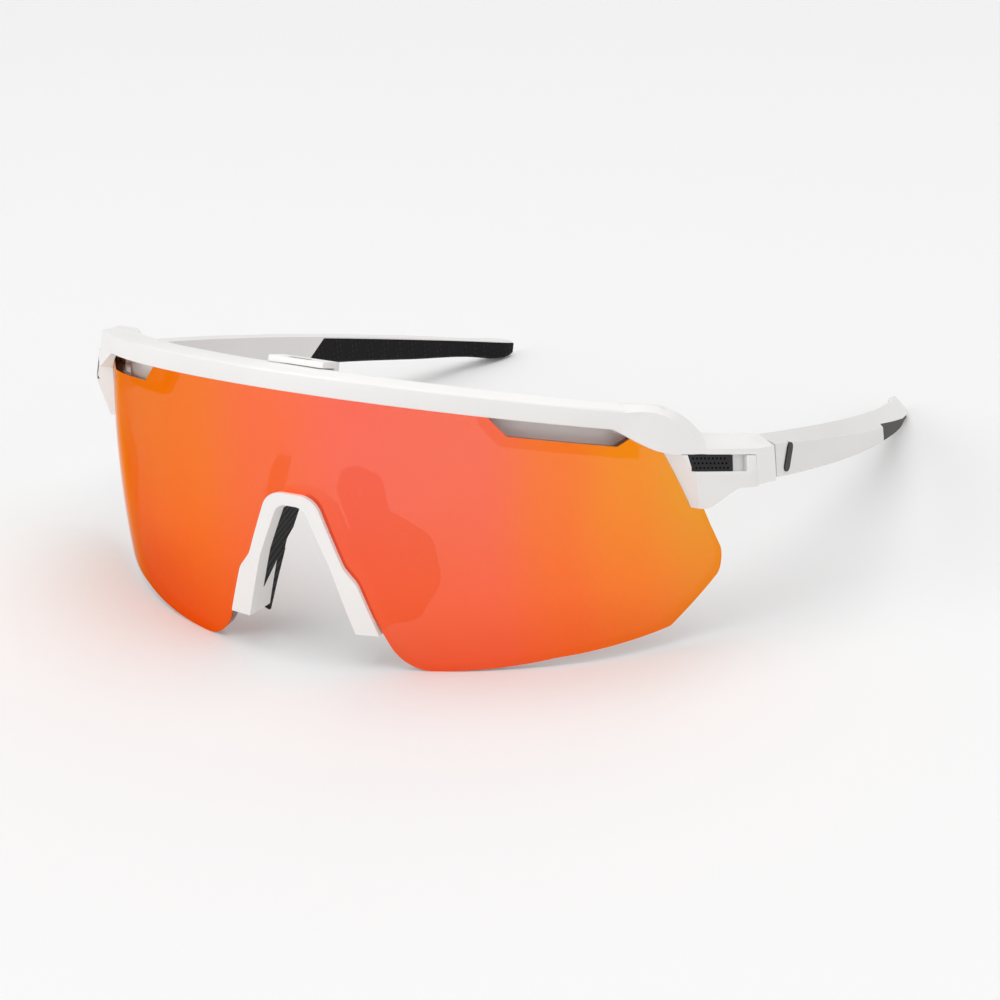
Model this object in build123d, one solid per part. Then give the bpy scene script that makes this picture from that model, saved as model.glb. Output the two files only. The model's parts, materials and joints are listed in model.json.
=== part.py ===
from build123d import *
import os
from math import asin, cos, degrees, radians, sin, sqrt, tan

# Wraparound sport sunglasses with one shield lens. Millimetres and degrees.
#
# Everything is drawn in the wearing frame: X to the wearer's left, -Y out through the lens, Z up, the
# arms level along +Y, and the origin at the middle of the lens's top edge. The lens's own frame is the
# wearing frame turned by LENS_TILT about X, so the lens leans its foot towards the face. At the end the
# whole model is turned about X until it stands on the lens's two lobes and the two arm tips, with the
# floor at Z = 0.

# Lens: a slice of a dome, round about an upright axis and gently curved in height.
LENS_RADIUS = 69.4            # about the upright axis, at the dome's widest height
DOME_RADIUS = 206.0           # of the upright curve
DOME_HEIGHT = -27.0           # height of the widest circle
LENS_THICKNESS = 2.0
LENS_TILT = 19.0
LENS_DEPTH_IN_BROW = 3.2
LENS_CLEARANCE = 0.06         # between the lens and each groove that holds it
LENS_FOOT = -52.5             # height of the lobes' corners
LENS_SIDE_ANGLE = 68.5        # half the angle that the lens wraps
LENS_SIDE_HEIGHT = -39.4

# Vent cut-outs in the lens's top edge.
VENT_START_ANGLE = 30.6
VENT_END_ANGLE = 52.6
VENT_DEPTH = 3.1

# Brow bar.
BROW_LIP = 1.3                # how far the bar stands proud of the lens
BROW_FACE = 3.5               # height of the front face
BROW_TOP = 4.75
BROW_DEPTH = 4.6              # behind the lens front
BAR_END_ANGLE = 50.0          # the swept bar runs into the shoulders here
FLANGE_SETBACK = 3.2          # vent flange behind the lens front
FLANGE_THICKNESS = 1.3
FLANGE_DROP = 5.4

# Side ends of the front: the shoulder, the cheek over the pod, and the hinge block.
END_START = (60.5, 34.0)      # outer face in plan, where it leaves the lens's curve
END_BEND = (70.2, 48.6)
SEAM_X = 70.6                 # outer face at the fold seam
SEAM_Y = 56.3                 # fold seam on the hinge axis's level
SEAM_SLANT = 22.0             # the seam leans back towards its foot
SEAM_GAP = 0.2
POD_SEAM_FRONT = -3.5         # height of the joint line between cheek and pod at its front
POD_SEAM_SLOPE = 0.07
POD_BACK = 48.8               # back of the pod at the seam's front level
POD_FACET_TOP = (58.2, 35.4, -3.8)      # front facet: its two corners on the lens and one outside
POD_FACET_FOOT = (61.2, 43.4, -13.6)
POD_FACET_OUTER = (61.8, 35.8, -3.5)
POD_LEAN_LEVEL = -6.6        # below this the pod's outer face leans in towards the lens
POD_LEAN = 27.0
MESH_HEIGHT = 2.95
MESH_START = 3.2              # along the cheek, from the shoulder
POD_GAP = 0.12
POD_WALL = 5.6
CHEEK_THICKNESS = 7.2

# Hinge.
PIN_INSET = 4.6               # pin axis behind the outer face
PIN_HEIGHT = -3.4
PIN_RADIUS = 0.8
PIN_LENGTH = 6.2
SCREW_HEAD_RADIUS = 1.3
SCREW_HEAD_LEVEL = 3.15       # below the middle of the hinge
SCREW_HEAD_HEIGHT = 0.7
PIN_CLEARANCE = 0.05
PIN_FIT = 0.02
HINGE_TILT = 12.0
KNUCKLE_RADIUS = 2.4
KNUCKLE_CLEARANCE = 0.25
TONGUE_HEIGHT = 2.4
EAR_HEIGHT = 1.7
KNUCKLE_GAP = 0.1

# Arms.
ARM_LENGTH = 116.2            # along Y, from the fold seam to the tip
ARM_BEND = 300.0              # radius of the arm in plan
ARM_THICKNESS = 5.4
ARM_TIP_THICKNESS = 3.8
GRIP_THICKNESS = 1.5
GRIP_START = 56.0
GRIP_RIM = 0.75               # width of the shell's rim above the lining
GRIP_TOP_SLOPE = 1.1
PATCH_START = 69.0
PATCH_END = 108.0
PATCH_DEPTH = 0.8
BADGE_OFFSET = 5.4
BADGE_HEIGHT = 5.4
BADGE_WIDTH = 2.2
BADGE_LEAN = 6.0
BADGE_DEPTH = 0.5

# Nose bridge and pads.
NOSE_LIP = 1.0                # proud of the lens front
NOSE_DEPTH = 5.2              # behind the lens front
PAD_THICKNESS = 2.2
PAD_X = 10.7                  # middle of the left leg at PAD_HEIGHT in the lens's frame
PAD_HEIGHT = -39.0
PAD_LEAN = 18.0               # lean of the leg
PAD_FLARE = 24.0              # spread of the pads towards the face
PAD_BOW = 30.0                # radius of the wing's curve
LINING_ANGLE = 0.85           # width of the lining, about 1 mm
LINING_SETBACK = 2.2
LINING_DEPTH = 8.6
PEG_WIDTH = 0.9
PEG_HEIGHT = 7.0
PEG_FRONT = 3.3
PEG_CLEARANCE = 0.05

# Lens latch on top of the brow.
LATCH_WIDTH = 11.2
LATCH_FRONT = 0.8             # front of its roof, and of its tongue, behind the lens front
LATCH_TOP = 5.95
LATCH_REACH = -0.3
LATCH_LAND = 0.95             # lens left above the tongue
LATCH_TONGUE_WIDTH = 5.0
LATCH_TONGUE_HEIGHT = 1.4
LATCH_CLEARANCE = 0.1
LATCH_WINDOW_CLEARANCE = 0.15
LATCH_BACK_GAP = 0.5         # between the latch's wall and the middle of the bar's curved back

UPRIGHT = Axis((0, 0, 0), (0, 0, 1))


def lens_frame(shape):
    """Turns a shape drawn in the lens's frame into the wearing frame."""
    return Rot(LENS_TILT, 0, 0) * shape


def dome_radius(height, offset=0.0):
    """Radius of the lens front about the upright axis at a height in the lens's frame."""
    drop = height - DOME_HEIGHT
    return LENS_RADIUS + offset - DOME_RADIUS + sqrt(DOME_RADIUS**2 - drop**2)


def dome_shell(front, back):
    """Shell between two surfaces parallel to the lens front, from front to back of it."""
    centre = (LENS_RADIUS - DOME_RADIUS, DOME_HEIGHT)
    sector = 12.5
    outer = CenterArc(centre, DOME_RADIUS + front, -sector, 2 * sector)
    inner = CenterArc(centre, DOME_RADIUS + back, -sector, 2 * sector)
    profile = make_face([outer, Line(outer @ 1, inner @ 1), inner, Line(inner @ 0, outer @ 0)])
    shell = revolve(Plane.XZ * profile, axis=Axis.Z, revolution_arc=156)
    return Pos(0, LENS_RADIUS, 0) * shell.rotate(UPRIGHT, -168)


def rounded_face(corners):
    """Face inside a closed outline of corners (x, y, corner radius)."""
    edges = []
    starts = []
    ends = []
    for index, (x, y, radius) in enumerate(corners):
        corner = Vector(x, y)
        back = (Vector(*corners[index - 1][:2]) - corner).normalized()
        ahead = (Vector(*corners[(index + 1) % len(corners)][:2]) - corner).normalized()
        starts.append(corner)
        ends.append(corner)
        if radius == 0:
            continue
        half = radians(back.get_angle(ahead)) / 2
        starts[-1] = corner + back * (radius / tan(half))
        ends[-1] = corner + ahead * (radius / tan(half))
        middle = corner + (back + ahead).normalized() * (radius / sin(half) - radius)
        edges.append(ThreePointArc(starts[-1], middle, ends[-1]))
    for index, end in enumerate(ends):
        edges.append(Line(end, starts[(index + 1) % len(corners)]))
    return make_face(edges)


def on_sheet(angle, height, size):
    """A point of the lens front, seen from the dome's centre, on an upright sheet size radii away."""
    reach = size * LENS_RADIUS
    across = reach * tan(radians(angle))
    return (across, reach * (height - DOME_HEIGHT) / dome_radius(height) / cos(radians(angle)))


def sheet_face(corners, size, inset=0.0):
    """Closed outline through corners (angle, height, corner radius) on the sheet size radii away."""
    outline = rounded_face([(*on_sheet(angle, height, size), radius * size) for angle, height, radius in corners])
    if inset:
        outline = offset(outline, amount=-inset * size)
    return Plane((0, LENS_RADIUS * (1 - size), DOME_HEIGHT), x_dir=(1, 0, 0), z_dir=(0, -1, 0)) * outline


def radial_prism(corners, inset=0.0):
    """Solid that meets every lens surface square to it, along an outline of corners."""
    return loft([sheet_face(corners, 0.15, inset), sheet_face(corners, 1.3, inset)], ruled=True)


def mirrored(corners):
    """Adds the right-hand half of a left-hand outline, to close it round the middle plane."""
    return corners + [(-angle, height, radius) for angle, height, radius in reversed(corners)]


def right_of(shape):
    """The right-hand copy of a left-hand piece."""
    return mirror(shape, about=Plane.YZ)


def height_in_lens_frame(angle, level):
    """Height in the lens's frame of the lens front's point at an angle and a wearing-frame level."""
    height = level
    for _ in range(8):
        depth = LENS_RADIUS - dome_radius(height) * cos(radians(angle))
        height = (level - depth * sin(radians(LENS_TILT))) / cos(radians(LENS_TILT))
    return height


def front_at(angle, level=0.0, offset=0.0):
    """Plan position of the lens front, or of a surface proud of it, in the wearing frame."""
    height = height_in_lens_frame(angle, level)
    radius = dome_radius(height, offset)
    depth = LENS_RADIUS - radius * cos(radians(angle))
    across = radius * sin(radians(angle))
    return (across, depth * cos(radians(LENS_TILT)) - height * sin(radians(LENS_TILT)))


def lens_outline():
    """Edge of the lens's left half, from its top corner round the side and up into the nose notch."""
    return [
        (54.0, 12.0, 0.0),
        (54.0, height_in_lens_frame(54.0, 0.6), 1.0),
        (57.6, height_in_lens_frame(57.6, -2.2), 2.0),
        (57.8, -11.5, 3.0),
        (62.0, -21.5, 8.0),
        (65.2, -31.0, 10.0),
        (LENS_SIDE_ANGLE, LENS_SIDE_HEIGHT, 8.0),
        (58.0, -48.9, 8.0),
        (39.5, -51.0, 0.0),
        (16.2, LENS_FOOT, 11.5),
        (12.4, -43.0, 0.0),
        (8.8, -35.6, 5.0),
        (6.8, -32.0, 5.0),
        (2.9, -20.9, 3.4),
    ]


def nose_outline(foot):
    """Outer edge of the nose bridge, from the foot of its left leg up to the top of the arch."""
    return [(12.2 - foot * 0.34, -44.4 + foot, 0.8), (10.0, -35.4, 5.0), (8.0, -32.4, 5.0), (3.9, -19.4, 4.4)]


def vent_cutter(deeper=0.0, drop=VENT_DEPTH):
    """The notch that leaves a gap under the brow at one side."""
    start = VENT_START_ANGLE - deeper
    end = VENT_END_ANGLE + deeper
    ramp = 2.7
    corners = [
        (start, height_in_lens_frame(start, 6), 0.0),
        (start, height_in_lens_frame(start, 0), 1.0),
        (start + ramp, height_in_lens_frame(start + ramp, -drop), 2.0),
        (end - ramp, height_in_lens_frame(end - ramp, -drop), 3.0),
        (end, height_in_lens_frame(end, -1.0), 1.0),
        (end, height_in_lens_frame(end, 6), 0.0),
    ]
    return lens_frame(radial_prism(corners))


def lens_solid(clearance=0.0):
    """The shield lens; with a clearance, the space that a groove leaves for it."""
    shell = lens_frame(dome_shell(clearance, -LENS_THICKNESS - clearance))
    lens = shell & lens_frame(radial_prism(mirrored(lens_outline()), -clearance))
    top = LENS_DEPTH_IN_BROW + clearance
    return lens & Pos(0, 0, top) * Box(300, 300, 200, align=(Align.CENTER, Align.CENTER, Align.MAX))


def make_lens():
    """The lens with its two vents and the window that the latch's tongue enters."""
    vent = vent_cutter()
    low = latch_tongue_level() - LATCH_WINDOW_CLEARANCE
    window = Pos(0, 0, low) * Box(
        LATCH_TONGUE_WIDTH + 2 * LATCH_WINDOW_CLEARANCE,
        20,
        LATCH_TONGUE_HEIGHT + 2 * LATCH_WINDOW_CLEARANCE,
        align=(Align.CENTER, Align.CENTER, Align.MIN),
    )
    return lens_solid() - vent - right_of(vent) - window


def brow_section():
    """Cross-section of the brow bar: X runs forward from the lens front, Y up."""
    crease = BROW_LIP + 0.30 * BROW_FACE
    return rounded_face([
        (BROW_LIP, 0, 0.35),
        (crease, BROW_FACE, 0.5),
        (crease - 3.2, BROW_TOP, 1.6),
        (-BROW_DEPTH + 0.9, BROW_TOP - 0.4, 0.5),
        (-BROW_DEPTH, BROW_TOP - 1.6, 0.5),
        (-BROW_DEPTH, 0, 0.3),
    ])


def brow_bar_blank():
    """The bar itself, swept round the lens's top edge."""
    stations = [BAR_END_ANGLE * step / 6 for step in range(-6, 7)]
    path = Spline(*[(*front_at(angle), 0) for angle in stations])
    along = -(path % 0)
    start = Plane(path @ 0, x_dir=Vector(0, 0, 1).cross(along), z_dir=along)
    return sweep(start * brow_section(), path=path)


def end_station(place, inward, levels):
    """One upright section of the front's end: outer face, bevelled roof and inner face."""
    floor, crease, ridge, thickness, lean = levels
    plane = Plane((*place, 0), x_dir=(*inward, 0), z_dir=Vector(*inward, 0).cross(Vector(0, 0, 1)))
    corners = [
        (0, floor),
        (-lean, crease),
        (3.2 - lean, ridge),
        (thickness - 0.7, ridge - 0.3),
        (thickness, ridge - 1.2),
        (thickness, floor),
    ]
    return plane * make_face(Polyline(*corners, close=True))


def inward_of(direction):
    """Unit vector that points inward, square to a plan direction that runs backward."""
    across, back = direction
    length = sqrt(across**2 + back**2)
    return (-back / length, across / length)


def pod_seam_level(depth):
    """Height of the joint line between cheek and pod, where it is depth behind the brow."""
    return POD_SEAM_FRONT + POD_SEAM_SLOPE * (depth - END_START[1])


def brow_end():
    """Shoulder and cheek: from inside the brow bar back to the hinge block."""
    lead = front_at(BAR_END_ANGLE - 4.0, offset=BROW_LIP - 0.2)
    turn = front_at(BAR_END_ANGLE + 1.0, offset=BROW_LIP)
    along = (END_BEND[0] - END_START[0], END_BEND[1] - END_START[1])
    heel = (END_START[0] + along[0] * 0.24, END_START[1] + along[1] * 0.24)
    step = (END_START[0] + along[0] * 0.42, END_START[1] + along[1] * 0.42)
    depth = BROW_DEPTH + BROW_LIP
    lean = 0.3 * BROW_FACE
    inward = inward_of(along)
    shoulder = [
        (lead, inward_of((0.68, 0.73)), (0.3, BROW_FACE - 0.2, BROW_TOP - 0.3, depth - 0.5, lean - 0.1)),
        (turn, inward_of((0.61, 0.79)), (-0.9, BROW_FACE - 0.1, BROW_TOP - 0.05, depth, lean)),
        (END_START, inward, (pod_seam_level(END_START[1]), 2.2, 4.4, CHEEK_THICKNESS, 0.2)),
        (heel, inward, (pod_seam_level(heel[1]), -0.4, 2.7, CHEEK_THICKNESS, 0.0)),
        (step, inward, (pod_seam_level(step[1]), -2.1, 0.4, CHEEK_THICKNESS, 0.0)),
    ]
    cheek = [
        shoulder[-1],
        (END_BEND, inward_of((0.3, 0.95)), (pod_seam_level(END_BEND[1]), -1.4, 0.8, CHEEK_THICKNESS, 0.0)),
        ((SEAM_X, SEAM_Y + 3), inward_of((0.0, 1.0)), (-2.0, -0.7, 0.9, CHEEK_THICKNESS, 0.0)),
    ]
    return loft([end_station(*station) for station in shoulder]) + loft(
        [end_station(*station) for station in cheek], ruled=True
    )


def arm_outer(distance):
    """Outer face of the arm in plan, a distance behind the fold seam."""
    drop = ARM_BEND - sqrt(ARM_BEND**2 - distance**2)
    return (SEAM_X - drop, SEAM_Y + distance)


def arm_floor(distance):
    """Lower edge of the arm."""
    return -7.1 + 0.0605 * distance


def arm_crease(distance):
    """Line between the arm's upright side and its sloped upper face."""
    return -0.6 + 0.0125 * distance


def arm_ridge(distance):
    """Upper edge of the arm."""
    return 0.6 + 0.042 * distance - 0.00015 * distance**2


def arm_thickness(distance):
    """Thickness of the arm, which thins towards the tip."""
    return ARM_THICKNESS + (ARM_TIP_THICKNESS - ARM_THICKNESS) * distance / ARM_LENGTH


def hinge_place():
    """Location of the hinge: origin on the pin's axis, Z along the pin."""
    return Pos(SEAM_X - PIN_INSET, SEAM_Y, PIN_HEIGHT) * Rot(HINGE_TILT, 0, 0)


def behind_seam(gap):
    """Everything behind the slanted fold seam, from a gap past it."""
    block = Box(80, 300, 300, align=(Align.CENTER, Align.MIN, Align.CENTER))
    return Pos(SEAM_X, SEAM_Y, PIN_HEIGHT) * Rot(SEAM_SLANT, 0, 0) * Pos(0, gap, 0) * block


def disc(radius, low, high):
    """Round slug about the pin's axis between two heights in the hinge's frame."""
    return Pos(0, 0, low) * Cylinder(radius, high - low, align=(Align.CENTER, Align.CENTER, Align.MIN))


def web(low, high, front, back, inner, outer):
    """Block beside the pin's axis, in the hinge's frame."""
    corner = (Align.MIN, Align.MIN, Align.MIN)
    return Pos(-inner, front, low) * Box(inner + outer, back - front, high - low, align=corner)


def frame_ears():
    """The two fixed ears of the hinge, in the hinge's frame."""
    low = TONGUE_HEIGHT / 2 + KNUCKLE_GAP
    high = low + EAR_HEIGHT
    ears = []
    for floor, top in ((low, high), (-high, -low)):
        stem = web(floor, top, -4.0, 0, KNUCKLE_RADIUS, KNUCKLE_RADIUS)
        ears.append(disc(KNUCKLE_RADIUS, floor, top) + stem)
    return ears


def hinge_block():
    """The deep block behind the pod that carries the hinge's ears."""
    along = (END_BEND[0] - END_START[0], END_BEND[1] - END_START[1])
    front = (END_BEND[0] - along[0] * 0.12, END_BEND[1] - along[1] * 0.12)
    stations = [
        (front, inward_of(along), (-8.4, -1.6, 0.6, CHEEK_THICKNESS, 0.0)),
        (END_BEND, inward_of((0.3, 0.95)), (-8.2, -1.4, 0.8, CHEEK_THICKNESS, 0.0)),
        ((SEAM_X, SEAM_Y + 3), inward_of((0.0, 1.0)), (-7.2, -0.7, 0.9, CHEEK_THICKNESS, 0.0)),
    ]
    block = loft([end_station(*station) for station in stations], ruled=True)
    pod_side = Pos(0, pod_back_at(0) + POD_GAP, 0) * Rot(SEAM_SLANT, 0, 0)
    return block - pod_side * Box(300, 60, 60, align=(Align.CENTER, Align.MAX, Align.CENTER))


def make_hinge_end():
    """The left end of the front: cheek, hinge block, ears and the bore for the hinge screw."""
    end = brow_end() + hinge_block()
    end = end - behind_seam(0)
    place = hinge_place()
    half = TONGUE_HEIGHT / 2 + KNUCKLE_GAP
    swing = web(-12, 12, -1.1, 12, 12, 0.2)
    slot = disc(KNUCKLE_RADIUS + KNUCKLE_CLEARANCE, -half, half)
    end = end - place * swing - place * slot
    for ear in frame_ears():
        end = end + place * ear
    return end - place * screw_space(PIN_FIT)


def vent_flange():
    """Wall behind one vent, set back from the lens so that air passes down between them."""
    start = VENT_START_ANGLE - 1.5
    end = VENT_END_ANGLE + 2.0
    corners = [
        (start, height_in_lens_frame(start, 2.0), 0.0),
        (start, height_in_lens_frame(start, -1.5), 1.0),
        (start + 3, height_in_lens_frame(start + 3, -FLANGE_DROP), 2.0),
        (end, height_in_lens_frame(end, -FLANGE_DROP), 0.0),
        (end, height_in_lens_frame(end, 2.0), 0.0),
    ]
    shell = dome_shell(-FLANGE_SETBACK, -FLANGE_SETBACK - FLANGE_THICKNESS)
    return lens_frame(shell & radial_prism(corners))


def latch_rail_cut():
    """Slot for the latch's tongue, through the back of the bar to the lens's groove."""
    width = LATCH_TONGUE_WIDTH + 2 * LATCH_CLEARANCE
    height = LATCH_TONGUE_HEIGHT + 2 * LATCH_CLEARANCE
    corner = (Align.CENTER, Align.MIN, Align.MIN)
    start = crown() + LATCH_REACH - LATCH_CLEARANCE
    return Pos(0, start, latch_tongue_level() - LATCH_CLEARANCE) * Box(width, 30, height, align=corner)


def crown():
    """Depth of the lens front at the middle of its top edge."""
    return front_at(0)[1]


def latch_tongue_level():
    """Underside of the latch's tongue."""
    return LENS_DEPTH_IN_BROW - LATCH_LAND - LATCH_TONGUE_HEIGHT


def make_brow_bar():
    """The upper half of the front, in one piece from hinge to hinge."""
    left_side = Box(200, 300, 200, align=(Align.MIN, Align.CENTER, Align.CENTER))
    half = (brow_bar_blank() & left_side) + make_hinge_end()
    half = half + vent_flange()
    half = half - lens_solid(LENS_CLEARANCE)
    half = half - pod_blank(POD_GAP)
    half = half - latch_rail_cut()
    return main_body(half + right_of(half))


def main_body(shape):
    """The largest solid of a shape, without the crumbs that a cut can leave beside it."""
    return max(shape.solids(), key=lambda solid: solid.volume)


def temple_blank():
    """The arm's outer shape, a little long at the seam so that the seam can be cut."""
    distances = [-4.0, 8.0, 24.0, 42.0, 60.0, 78.0, 94.0, 106.0, ARM_LENGTH - 1.8]
    sections = []
    for distance in distances:
        reach = max(distance, 0.0)
        turn = degrees(asin(reach / ARM_BEND))
        across, back = arm_outer(reach)
        sections.append(arm_section(across, back + min(distance, 0.0), turn, distance, 1.0))
    tip = arm_outer(ARM_LENGTH)
    sections.append(arm_section(*tip, degrees(asin(ARM_LENGTH / ARM_BEND)), ARM_LENGTH, 0.72))
    return loft(sections)


def arm_section(across, back, turn, distance, fullness):
    """One upright section of the arm, shrunk about its middle by fullness."""
    floor = arm_floor(distance)
    crease = arm_crease(distance)
    ridge = arm_ridge(distance)
    thick = arm_thickness(distance)
    middle = (thick / 2, floor + (ridge - floor) * 0.66)
    outline = [
        (0.0, floor + 0.5),
        (0.0, crease),
        (thick * 0.75, ridge),
        (thick, ridge - 0.5),
        (thick, floor + 0.4),
        (thick - 0.5, floor),
        (0.6, floor),
    ]
    corners = [
        (middle[0] + (x - middle[0]) * fullness, middle[1] + (y - middle[1]) * fullness) for x, y in outline
    ]
    inward = Vector(-cos(radians(turn)), -sin(radians(turn)), 0)
    plane = Plane((across, back, 0), x_dir=inward, z_dir=inward.cross(Vector(0, 0, 1)))
    return plane * make_face(Polyline(*corners, close=True))


def arm_band(depth, thickness, start, end, low, high):
    """Curved slab that follows the arm: from a depth under its outer face, between two stations."""
    centre = (SEAM_X - ARM_BEND, SEAM_Y)
    outer = ARM_BEND - depth
    inner = outer - thickness
    first = degrees(asin(start / ARM_BEND))
    last = degrees(asin(end / ARM_BEND))
    outer_arc = CenterArc(centre, outer, first, last - first)
    inner_arc = CenterArc(centre, inner, first, last - first)
    closing = [Line(outer_arc @ 0, inner_arc @ 0), Line(outer_arc @ 1, inner_arc @ 1)]
    face = make_face([outer_arc, inner_arc, *closing])
    return Pos(0, 0, low) * extrude(face, amount=high - low)


def grip_space(gap):
    """Space of the rubber lining inside the arm: slanted at its front and open at the arm's tip."""
    depth = ARM_TIP_THICKNESS - GRIP_THICKNESS + 0.55 - gap
    across, back = arm_outer(GRIP_START)
    lining = arm_band(depth, 8, GRIP_START - 4, ARM_LENGTH + 3, -9, 9)
    above = Rot(GRIP_TOP_SLOPE, 0, 0) * Box(80, 200, 20, align=(Align.CENTER, Align.CENTER, Align.MIN))
    ahead = Rot(-40, 0, 0) * Box(80, 60, 60, align=(Align.CENTER, Align.MAX, Align.CENTER))
    lining = lining - Pos(across, back, arm_ridge(GRIP_START) - GRIP_RIM + gap) * above
    return lining - Pos(across, back - gap, arm_floor(GRIP_START)) * ahead


def patch_space(gap):
    """Space of the rubber patch that is let into the outside of the arm."""
    length = PATCH_END - PATCH_START
    across, back = arm_outer(PATCH_START)
    middle = (PATCH_START + PATCH_END) / 2
    rise = degrees(asin((arm_crease(PATCH_END) - arm_crease(PATCH_START)) / length))
    face = rounded_face([
        (0.0, -2.6, 0.8),
        (-4.0, 1.2, 0.5),
        (length * 0.5, 1.0, 0.0),
        (length, 0.7, 0.5),
        (length - 3.0, -1.4, 0.8),
        (length * 0.45, -2.9, 0.0),
    ])
    if gap:
        face = offset(face, amount=gap)
    level = arm_crease(PATCH_START) - 0.7
    plane = Plane((across + 6, back, level), x_dir=(0, 1, 0), z_dir=(-1, 0, 0)).rotated((0, 0, rise))
    slab = extrude(Plane(plane.origin, x_dir=(0, 1, 0), z_dir=(1, 0, 0)) * face, amount=60, both=True)
    return slab & arm_band(-3, 3 + PATCH_DEPTH + gap, PATCH_START - 8, middle + length, -9, 9)


def make_temple():
    """The left arm's shell."""
    arm = temple_blank() & behind_seam(SEAM_GAP)
    place = hinge_place()
    half = TONGUE_HEIGHT / 2
    ear_high = half + 2 * KNUCKLE_GAP + EAR_HEIGHT
    notch_radius = KNUCKLE_RADIUS + KNUCKLE_CLEARANCE
    for low, high in ((half, ear_high), (-ear_high, -half)):
        pocket = disc(notch_radius, low, high) + web(low, high, -6, notch_radius, 8, 0.0)
        arm = arm - place * pocket
    tongue = disc(KNUCKLE_RADIUS, -half, half) + web(-half, half, 0, 5.5, 0.7, KNUCKLE_RADIUS)
    arm = arm + place * tongue
    arm = arm - place * disc(PIN_RADIUS + PIN_CLEARANCE, -half - 5, half + 5)
    arm = arm - place * disc(SCREW_HEAD_RADIUS + 0.3, -half - 9, -ear_high)
    arm = arm - badge_space(0.05, proud=1.0)
    return main_body(arm - grip_space(0.05) - patch_space(0.05))


def make_grip():
    """The rubber lining inside the rear of the left arm."""
    return main_body(temple_blank() & grip_space(0))


def make_patch():
    """The rubber patch on the outside of the left arm."""
    return main_body(temple_blank() & patch_space(0))


def badge_space(gap, proud=0.0):
    """Upright capsule set into the arm's outer face just behind the hinge."""
    across, back = arm_outer(BADGE_OFFSET)
    plate = SlotOverall(BADGE_HEIGHT + 2 * gap, BADGE_WIDTH + 2 * gap, rotation=90 + BADGE_LEAN)
    place = Plane((across + proud, back, PIN_HEIGHT + 0.3), x_dir=(0, 1, 0), z_dir=(-1, 0, 0))
    return place * extrude(plate, amount=BADGE_DEPTH + proud + gap)


def make_badge():
    """Plain capsule that fills the recess and stands a little proud."""
    return badge_space(0, proud=0.25)


def screw_space(gap):
    """Shaft and head of the hinge screw, in the hinge's frame, grown by a gap."""
    shaft = disc(PIN_RADIUS + gap, -SCREW_HEAD_LEVEL, PIN_LENGTH / 2 + gap)
    head = disc(SCREW_HEAD_RADIUS + gap, -SCREW_HEAD_LEVEL - 3, -SCREW_HEAD_LEVEL + gap)
    return shaft + head


def make_pin():
    """The hinge screw, with a slotted head under the lower ear."""
    foot = -SCREW_HEAD_LEVEL - SCREW_HEAD_HEIGHT
    screw = screw_space(0) - disc(4, foot - 10, foot)
    slot = Pos(0, 0, foot) * Box(6, 0.4, 0.7)
    return hinge_place() * (screw - slot)


def pod_back_at(level):
    """Depth of the pod's slanted back edge at a level."""
    return POD_BACK + (POD_SEAM_FRONT - level) * tan(radians(SEAM_SLANT))


def pod_side_profile():
    """Outline of the pod from the side: X is depth, Y is height."""
    front = END_START[1] - 3.0
    seam_back = pod_seam_level(POD_BACK) - POD_GAP
    return rounded_face([
        (front, pod_seam_level(front) - POD_GAP, 0.0),
        (front + 4.0, -13.2, 0.0),
        (45.0, -13.2, 1.4),
        (47.4, -8.8, 1.5),
        (pod_back_at(-8.3), -8.3, 0.2),
        (pod_back_at(seam_back), seam_back, 0.2),
    ])


def pod_plan():
    """Outline of the pod from above: outer face, and inner face inside the lens."""
    outer = [(END_START[0] - 4.0, END_START[1] - 6.0), END_BEND, (SEAM_X, SEAM_Y)]
    inner = [(SEAM_X - POD_WALL, SEAM_Y), (END_BEND[0] - POD_WALL, END_BEND[1]), (52.0, 30.0)]
    return make_face(Polyline(*outer, *inner, close=True))


def pod_front_cut(gap):
    """Everything ahead of the pod's front facet, which leans back from the seam to the pod's foot."""
    top_inner = Vector(*POD_FACET_TOP)
    foot_inner = Vector(*POD_FACET_FOOT)
    top_outer = Vector(*POD_FACET_OUTER)
    ahead = (foot_inner - top_inner).cross(top_outer - top_inner).normalized()
    if ahead.Y > 0:
        ahead = -ahead
    facet = Plane(top_inner + ahead * gap, x_dir=(foot_inner - top_inner).normalized(), z_dir=ahead)
    return facet * Box(60, 60, 30, align=(Align.CENTER, Align.CENTER, Align.MIN))


def pod_blank(gap=0.0):
    """Pod before the lens and the mesh are let into it, grown by a gap."""
    profile = pod_side_profile()
    outline = pod_plan()
    if gap:
        profile = offset(profile, amount=gap)
        outline = offset(outline, amount=gap)
    side = extrude(Plane.YZ * profile, amount=90)
    plan = Pos(0, 0, -30) * extrude(outline, amount=40)
    return (side & plan) - pod_front_cut(gap) - pod_lean_cut(gap)


def pod_lean_cut(gap):
    """Everything outside the lower part of the pod's outer face."""
    along = Vector(END_BEND[0] - END_START[0], END_BEND[1] - END_START[1], 0).normalized()
    outward = along.cross(Vector(0, 0, 1))
    face = Plane(Vector(*END_START, POD_LEAN_LEVEL) + outward * gap, x_dir=along, z_dir=outward)
    corner = (Align.CENTER, Align.CENTER, Align.MIN)
    return face * Rot(POD_LEAN, 0, 0) * Box(80, 80, 20, align=corner)


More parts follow.
